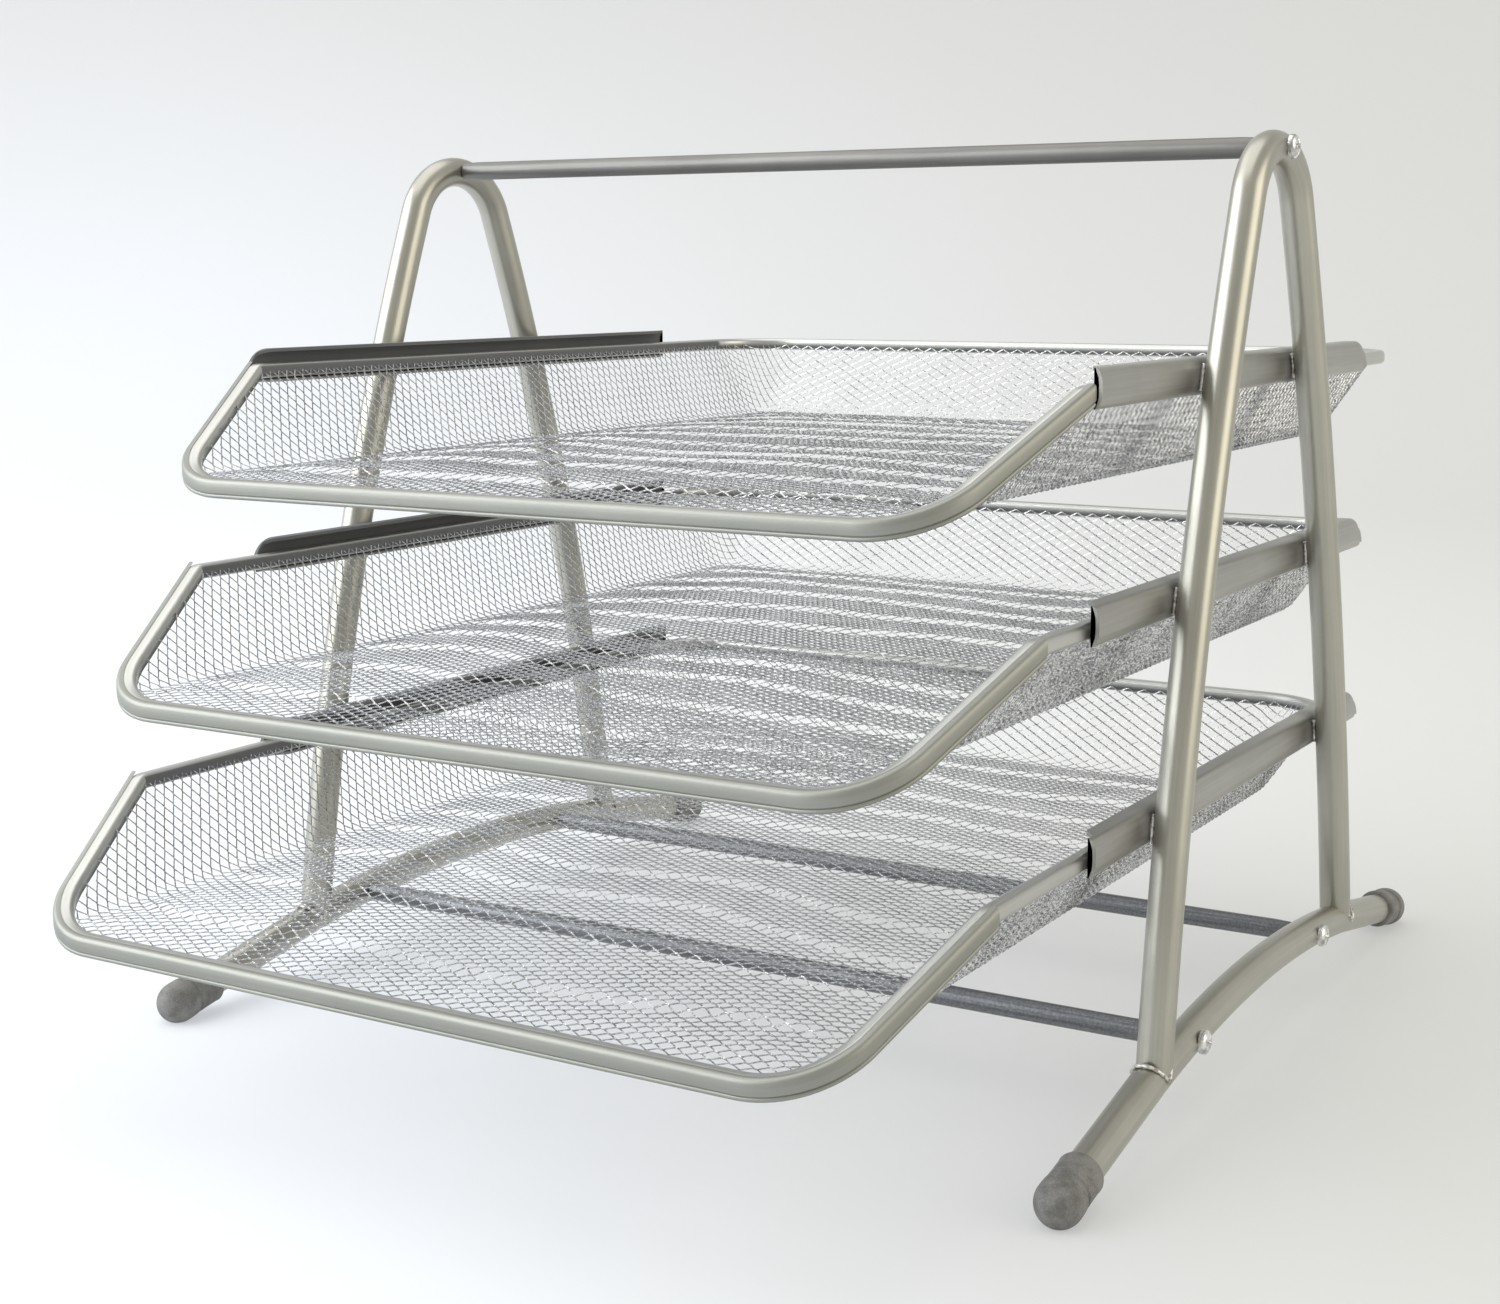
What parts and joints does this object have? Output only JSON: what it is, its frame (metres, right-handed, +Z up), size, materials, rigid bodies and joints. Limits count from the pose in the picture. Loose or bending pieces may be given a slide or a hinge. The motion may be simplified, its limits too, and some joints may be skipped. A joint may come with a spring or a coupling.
{
  "type": "mesh tray stand",
  "caption": "Tiered desk stand: mesh trays with low sloped fronts slide in channel rails welded inside side hoops on arched base tubes, with a carrying bar on top.",
  "frame": {"origin": "on the surface that the stand rests on, under the middle of its box with the trays as pictured", "axes": "+Z up, -Y towards the low fronts of the trays, +X to the right seen from the front"},
  "size_m": [0.3148, 0.399, 0.2729],
  "materials": {
    "silver_paint": "satin silver paint",
    "rail_paint": "satin silver paint",
    "dark_rod": "satin dark grey paint",
    "zinc_screw": "bright zinc plate",
    "grey_rubber": "matt",
    "mesh_paint": "satin silver paint on expanded metal"
  },
  "bodies": {
    "frame": {"hoop_left": "silver_paint", "base_tube_left": "silver_paint", "foot_cap_front_left": "grey_rubber", "foot_cap_rear_left": "grey_rubber", "handle_screw_left": "zinc_screw", "front_bar_screw_left": "zinc_screw", "rear_bar_screw_left": "zinc_screw", "hoop_right": "silver_paint", "base_tube_right": "silver_paint", "foot_cap_front_right": "grey_rubber", "foot_cap_rear_right": "grey_rubber", "handle_screw_right": "zinc_screw", "front_bar_screw_right": "zinc_screw", "rear_bar_screw_right": "zinc_screw", "handle_bar": "silver_paint", "cross_bar_front": "dark_rod", "cross_bar_rear": "dark_rod", "rail_top_left": "rail_paint", "rail_top_right": "rail_paint", "rail_middle_left": "rail_paint", "rail_middle_right": "rail_paint", "rail_bottom_left": "rail_paint", "rail_bottom_right": "rail_paint"},
    "tray_top": {"tray_top_rim": "silver_paint", "tray_top_front_lip": "silver_paint", "tray_top_floor_mesh": "mesh_paint", "tray_top_wall_mesh": "mesh_paint"},
    "tray_middle": {"tray_middle_rim": "silver_paint", "tray_middle_front_lip": "silver_paint", "tray_middle_floor_mesh": "mesh_paint", "tray_middle_wall_mesh": "mesh_paint"},
    "tray_bottom": {"tray_bottom_rim": "silver_paint", "tray_bottom_front_lip": "silver_paint", "tray_bottom_floor_mesh": "mesh_paint", "tray_bottom_wall_mesh": "mesh_paint"}
  },
  "joints": [
    {"name": "tray_top_slide", "type": "slide", "parent": "frame", "child": "tray_top", "axis": [0, -1, 0], "range_m": [0, 0.18]},
    {"name": "tray_middle_slide", "type": "slide", "parent": "frame", "child": "tray_middle", "axis": [0, -1, 0], "range_m": [-0.028, 0.152]},
    {"name": "tray_bottom_slide", "type": "slide", "parent": "frame", "child": "tray_bottom", "axis": [0, -1, 0], "range_m": [-0.054, 0.126]}
  ]
}
